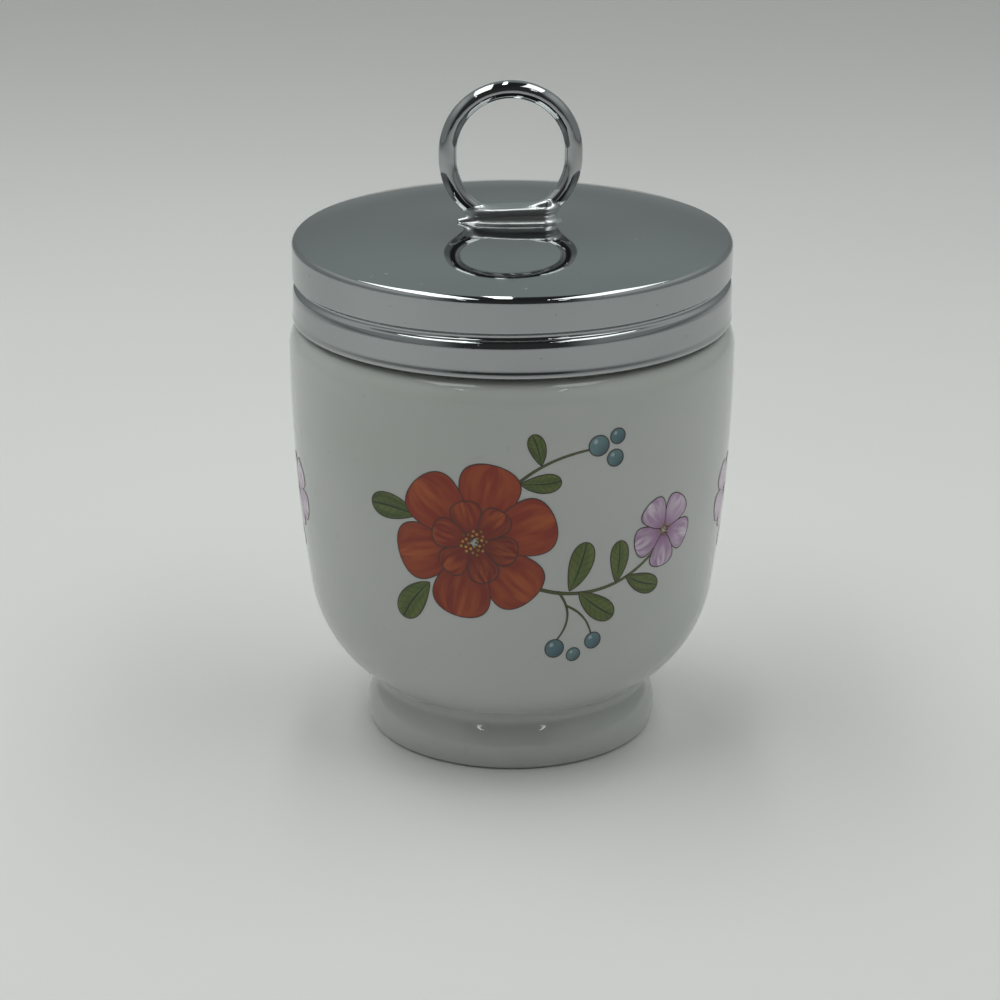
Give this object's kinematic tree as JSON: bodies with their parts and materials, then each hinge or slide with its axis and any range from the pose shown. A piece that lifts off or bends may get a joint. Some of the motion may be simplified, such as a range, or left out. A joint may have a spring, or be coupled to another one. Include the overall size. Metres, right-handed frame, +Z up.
{
  "type": "egg coddler",
  "caption": "Footed porcelain coddling cup with a threaded neck, closed by a thin plated screw cap that is lifted by a wire ring.",
  "frame": {"origin": "middle of the foot, on the surface the cup stands on", "axes": "+Z up along the cup's axis, -Y towards the front, and the ring stands in the X-Z plane"},
  "size_m": [0.0616, 0.0616, 0.0924],
  "materials": {
    "porcelain": "clear glossy glaze, floral decoration",
    "plated_cap": "polished",
    "plated_ring": "polished",
    "rivet_steel": "dull"
  },
  "bodies": {
    "cup": {"cup": "porcelain"},
    "rivet_carrier": {"ring_rivet": "rivet_steel"},
    "washer_carrier": {"rivet_washer": "rivet_steel"},
    "cap": {"lid_shell": "plated_cap", "ring_saddle": "plated_ring", "ring_handle": "plated_ring"}
  },
  "joints": [
    {"name": "lid_lift", "type": "slide", "parent": "cup", "child": "rivet_carrier", "axis": [0, 0, 1], "range_m": [0, 0.05]},
    {"name": "thread_rise", "type": "slide", "parent": "rivet_carrier", "child": "washer_carrier", "axis": [0, 0, 1], "range_m": [0, 0.0019]},
    {"name": "lid_turn", "type": "hinge", "parent": "washer_carrier", "child": "cap", "pos_m": [0, 0, 0.06], "axis": [0, 0, 1], "range_deg": [0, 330]}
  ],
  "couplings": [
    {"joint": "thread_rise", "follows": "lid_turn", "m_per_rad": 0.00031831}
  ]
}
